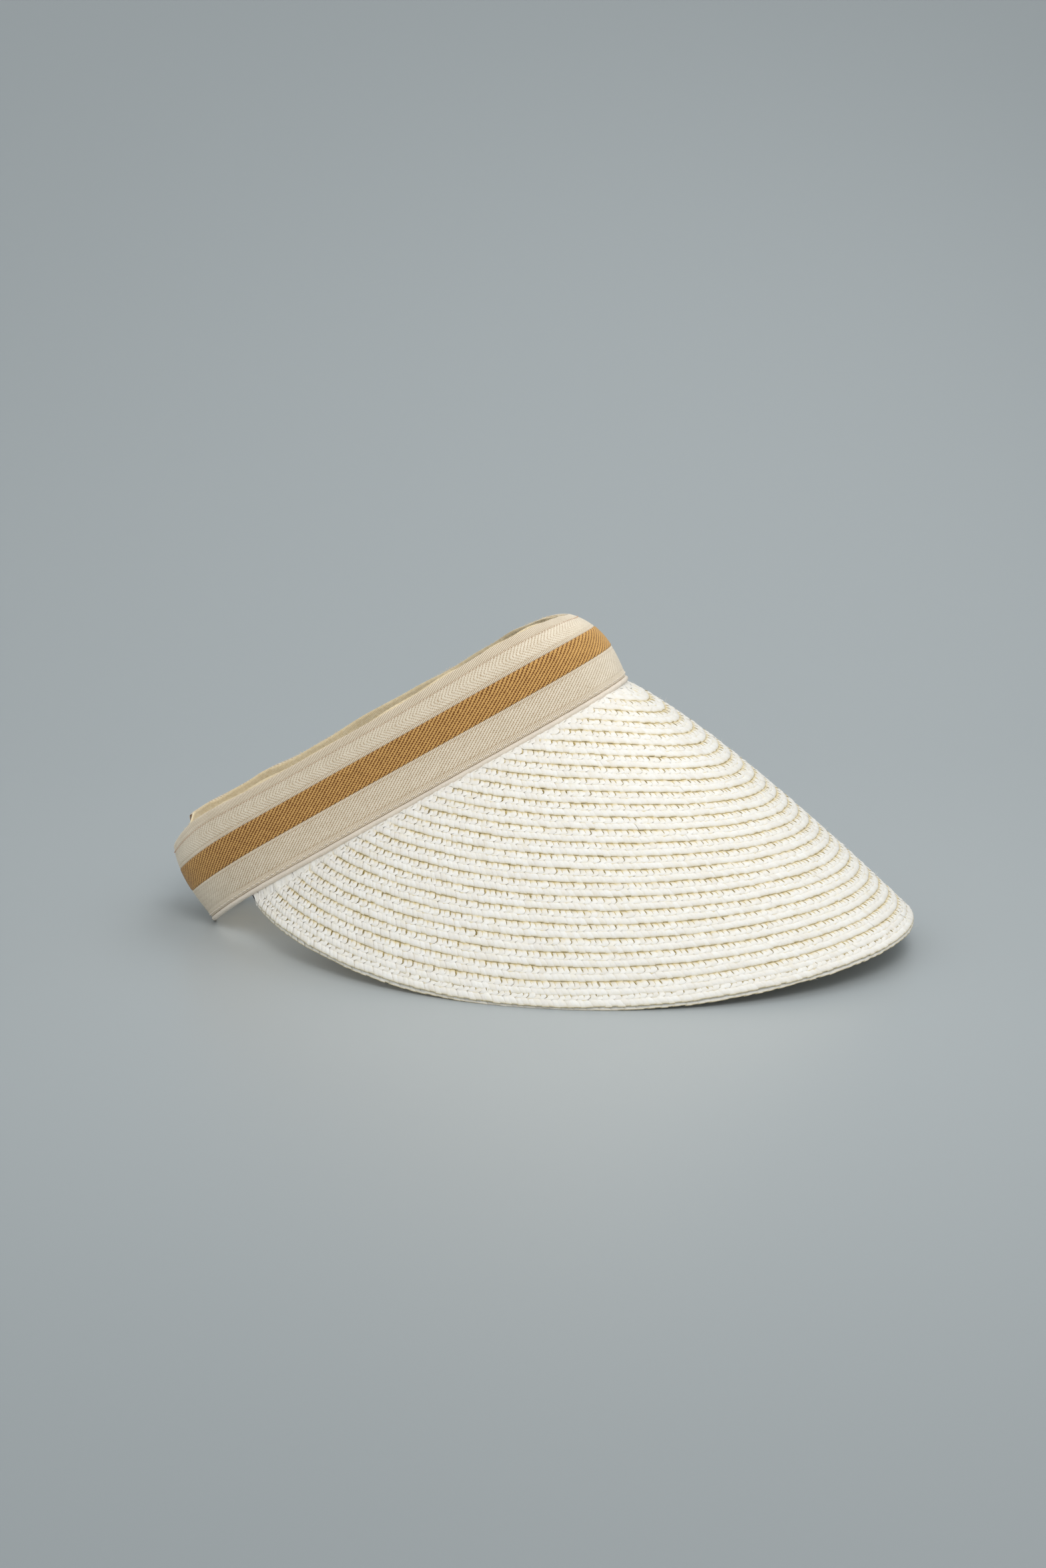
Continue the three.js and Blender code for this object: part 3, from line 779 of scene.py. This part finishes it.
# ---------------------------------------------------------------- the lining
LINING_LOW, LINING_TOP, LINING_T = 1.5, 38.3, 1.2
LINING_GAP = 0.4
LINING_BASE = -(WEB_T + LINING_T) / 2 - LINING_GAP
LINING_WAVE_FROM = 20
LINING_RISE = 0.8 * JOIN_RISE


def lining_depth(degrees):
    """The lining steps in with the inner layer of the join."""
    start = smooth(degrees, JOIN_BACK - 18, JOIN_STOP - 12)
    stop = 1 - smooth(degrees, JOIN_START + 2, JOIN_START + 10)
    return np.where(degrees > 0, -JOIN_STEP * np.minimum(start, stop), 0.0)


def lining(columns=460, rows=30, back_rows=8):
    degrees = np.linspace(-180, 180, columns, endpoint=False)[:, None]
    angle = np.radians(degrees)
    depth = lining_depth(degrees) + LINING_BASE
    top_wave = 0.35 * np.sin(angle * 9) + 0.25 * np.sin(angle * 23 + 1)
    raised = smooth(degrees, JOIN_BACK, JOIN_STOP) * (1 - smooth(degrees, JOIN_START + 1, JOIN_START + 7))
    top_wave = top_wave + LINING_RISE * raised
    soft = rng.normal(0, 0.07, (columns, rows))

    def face(h, into):
        up = h + top_wave * smooth(h, LINING_WAVE_FROM, LINING_TOP)
        return wall(angle + 0 * h, up, depth + into + 0 * h)

    inner = face(np.linspace(LINING_LOW, LINING_TOP, rows)[None, :], soft - LINING_T / 2)
    outer = face(np.linspace(LINING_TOP, LINING_LOW, back_rows)[None, :], LINING_T / 2)
    verts = np.concatenate([inner, outer], 1).reshape(-1, 3)
    quads = outward(verts, loft_quads(1, columns, rows + back_rows, True))
    s = np.interp(-degrees, -BAND_DEGREES, BAND_LENGTH) + np.zeros((1, rows + back_rows))
    grain = np.stack([s, 0 * s, 0 * s], -1).reshape(-1, 3)
    obj = piece("band_lining", verts, quads, LINING, ["inner_lining"], {"grain": grain})


lining()


# ---------------------------------------------------------------- fuzz, stitches and loose fibres
def hairs(name, roots, directions, lengths, radius, material, nodes=(), bend=0.35):
    """Fine three-sided fibres, each bent a little and tapering to a thin end."""
    n, sides = len(roots), 3
    taper = radius * np.array([1, 0.9, 0.7, 0.25])
    steps = np.linspace(0, 1, len(taper))
    directions = unit(directions)
    side = unit(np.cross(directions, rng.normal(size=(n, 3))))
    other = np.cross(directions, side)
    centre = (roots[:, None] + directions[:, None] * (lengths[:, None] * steps)[..., None]
              + side[:, None] * (lengths[:, None] * bend * steps**2)[..., None])
    a = np.arange(sides) * TAU / sides
    ring = np.cos(a)[:, None] * side[:, None] + np.sin(a)[:, None] * other[:, None]
    verts = centre[:, :, None] + taper[None, :, None, None] * ring[:, None]
    points = n * len(steps) * sides
    fields = {"strand": np.zeros((points, 3)), "tone": np.full(points, 0.8), "painted_shade": np.zeros(points)}
    return piece(name, verts, loft_quads(n, len(steps), sides), material, nodes, fields)


def lining_hairs(n=4200):
    degrees = rng.uniform(-180, 180, n)
    h = LINING_TOP - np.abs(rng.normal(0, 1.2, n))
    depth = lining_depth(degrees) + LINING_BASE - LINING_T / 2 * rng.uniform(-1, 1, n)
    roots = wall(np.radians(degrees), h, depth)
    _, out = seam(np.radians(degrees))
    directions = UP * rng.uniform(0.3, 1.2, n)[:, None] - out * rng.normal(0.1, 0.5, n)[:, None]
    directions = directions + rng.normal(0, 0.35, (n, 3))
    hairs("lining_fuzz", roots, directions, rng.uniform(0.5, 1.5, n), 0.05, LINING)


lining_hairs()

STITCHED_SHARE = 360 / 391
STITCH_START = 12.0
STITCH_BOW = np.array([-0.35, 0.12, 0.24, 0.24, 0.12, -0.35])
STITCH_TAPER = np.array([0.5, 0.9, 1, 1, 0.9, 0.5])


def stitches(name, height, pitch, length, radius, material, node, slant):
    """Separate stitches lying on the webbing along one height, about once round."""
    count = int(BAND_TOTAL * STITCHED_SHARE / pitch)
    start = np.arange(count) * pitch + STITCH_START + rng.normal(0, 0.1, count)
    stations, sides = len(STITCH_BOW), 6
    u = np.linspace(-0.5, 0.5, stations)
    s = start[:, None] + u * length
    h = height + slant * u[None, :] * length + rng.normal(0, 0.05, count)[:, None]
    depth = WEB_T / 2 + STITCH_BOW + 0 * s
    step = 0.05
    at = band_point(s, h, depth)
    run = unit(band_point(s + step, h, depth) - band_point(s - step, h, depth))
    rise = unit(band_point(s, h + step, depth) - band_point(s, h - step, depth))
    out = np.cross(run, rise)
    a = np.arange(sides) * TAU / sides
    ring = np.cos(a)[:, None] * rise[:, :, None] + np.sin(a)[:, None] * out[:, :, None]
    verts = at[:, :, None] + radius * STITCH_TAPER[None, :, None, None] * ring
    quads = outward(verts.reshape(-1, 3), loft_quads(count, stations, sides))
    return piece(name, verts, quads, material, [node])


stitches("top_stitches", 34.6, 1.55, 0.55, 0.12, THREAD, "top_stitch_thread", 0.3)
stitches("lower_stitches", 0.85, 3.1, 2.4, 0.2, PALE_THREAD, "lower_stitch_thread", 0.06)


def cut_end(n=46):
    """The webbing's inner cut end: a row of rubber cores and frayed yarn ends."""
    h = np.linspace(0.6, WEB_W - 0.5, n)
    s = np.full(n, 0.3)
    roots = band_point(s, h, rng.uniform(-0.35, 0.35, n))
    back = unit(band_point(s, h, np.zeros(n)) - band_point(s + 1, h, np.zeros(n)))
    directions = back + rng.normal(0, 0.12, (n, 3))
    hairs("webbing_cut_end", roots, directions, rng.uniform(0.7, 1.6, n), 0.3, RUBBER,
          ["elastic_webbing"], 0.1)


cut_end()


def straw_fibres(n=900):
    """Loose paper fibres standing off the plait."""
    k = rng.integers(0, ROWS, n)
    angle = rng.uniform(-2.6, 2.6, n)
    t = 1 - (k + rng.uniform(0.0, 0.9, n)) / PITCHES
    at = brim(t, angle)
    _, _, normal = brim_frame(t, angle)
    free = in_loop(at[:, 0], at[:, 1]) > 1.08
    at, normal = at[free], normal[free]
    m = len(at)
    lengths = rng.uniform(0.6, 2.2, m)
    directions = normal * rng.uniform(0.3, 1.0, m)[:, None] + rng.normal(0, 0.6, (m, 3))
    hairs("straw_fibres", at + normal * 1.1, directions, lengths, 0.05, STRAW, (), 0.4)


straw_fibres()

# ---------------------------------------------------------------- camera, floor and light
ELEVATION, TURN, DISTANCE = math.radians(13), math.radians(12), 1218.0
AIM_ALONG, AIM_HEIGHT = -27.5, 70.2
SENSOR, LENS = 36, 61.25053
right = Vector((math.cos(TURN), math.sin(TURN), 0))
ahead = Vector((-math.sin(TURN), math.cos(TURN), 0))


def place_camera():
    look = ahead * math.cos(ELEVATION) - Vector((0, 0, 1)) * math.sin(ELEVATION)
    aim = (right * AIM_ALONG + Vector((SHIFT_X, 0, AIM_HEIGHT))) * MM
    camera = bpy.data.objects.new("camera", bpy.data.cameras.new("camera"))
    bpy.context.scene.collection.objects.link(camera)
    camera.data.sensor_width = SENSOR
    camera.data.lens = LENS
    camera.data.clip_start, camera.data.clip_end = 0.05, 20
    camera.location = aim - look * DISTANCE * MM
    camera.rotation_mode = "QUATERNION"
    camera.rotation_quaternion = look.to_track_quat("-Z", "Y")
    bpy.context.scene.camera = camera


place_camera()

# Metres: the flat table reaches from TABLE_NEAR to TABLE_FAR, then curves up and stands.
TABLE_NEAR, TABLE_FAR, TABLE_HALF = -4.0, 0.35, 4.0
SWEEP_R, SWEEP_STEPS, BACKDROP_TOP = 2.2, 40, 5.0


def backdrop():
    """A seamless sweep: a flat table that curves up far behind the object."""
    profile = [(TABLE_NEAR, 0.0), (TABLE_FAR, 0.0)]
    for a in np.linspace(0.04, math.pi / 2, SWEEP_STEPS):
        profile.append((TABLE_FAR + SWEEP_R * math.sin(a), SWEEP_R - SWEEP_R * math.cos(a)))
    profile.append((TABLE_FAR + SWEEP_R, BACKDROP_TOP))
    verts = []
    for along, up in profile:
        for x in (-TABLE_HALF, TABLE_HALF):
            p = right * x + ahead * along
            verts.append((p.x, p.y, up))
    faces = [(2 * i, 2 * i + 1, 2 * i + 3, 2 * i + 2) for i in range(len(profile) - 1)]
    mesh = bpy.data.meshes.new("floor")
    mesh.from_pydata(verts, [], faces)
    mesh.polygons.foreach_set("use_smooth", [True] * len(faces))
    obj = bpy.data.objects.new("floor", mesh)
    bpy.context.scene.collection.objects.link(obj)
    mat, _, bsdf = nodes_of("pale_table")
    bsdf.inputs["Base Color"].default_value = (0.40, 0.43, 0.44, 1)
    bsdf.inputs["Roughness"].default_value = 0.38
    bsdf.inputs["Specular IOR Level"].default_value = 0.4
    mesh.materials.append(mat)


backdrop()


def area_light(name, at, aim_at, size, power, spread, colour=WHITE):
    """A softbox; at is metres to the right, ahead and up, and aim_at the same on the table."""
    data = bpy.data.lights.new(name, "AREA")
    data.shape, data.size, data.size_y = "RECTANGLE", size[0], size[1]
    data.energy, data.color, data.spread = power, colour, math.radians(spread)
    obj = bpy.data.objects.new(name, data)
    bpy.context.scene.collection.objects.link(obj)
    place = right * at[0] + ahead * at[1] + Vector((0, 0, at[2]))
    target = right * aim_at[0] + ahead * aim_at[1]
    obj.location = place
    obj.rotation_mode = "QUATERNION"
    obj.rotation_quaternion = (target - place).to_track_quat("-Z", "Y")


area_light("key_softbox", (0.15, -0.7, 0.85), (0.0, 0.1), (0.5, 0.5), 0.55, 60, (1.0, 0.985, 0.965))
area_light("top_softbox", (0.35, 0.75, 1.2), (0.05, 0.65), (1.4, 0.8), 2.4, 120)
bpy.context.scene.view_settings.view_transform = "Standard"
world = bpy.data.worlds.new("studio")
bpy.context.scene.world = world
world.use_nodes = True
world.node_tree.nodes["Background"].inputs["Color"].default_value = (0.95, 0.985, 1.0, 1)
world.node_tree.nodes["Background"].inputs["Strength"].default_value = 0.83
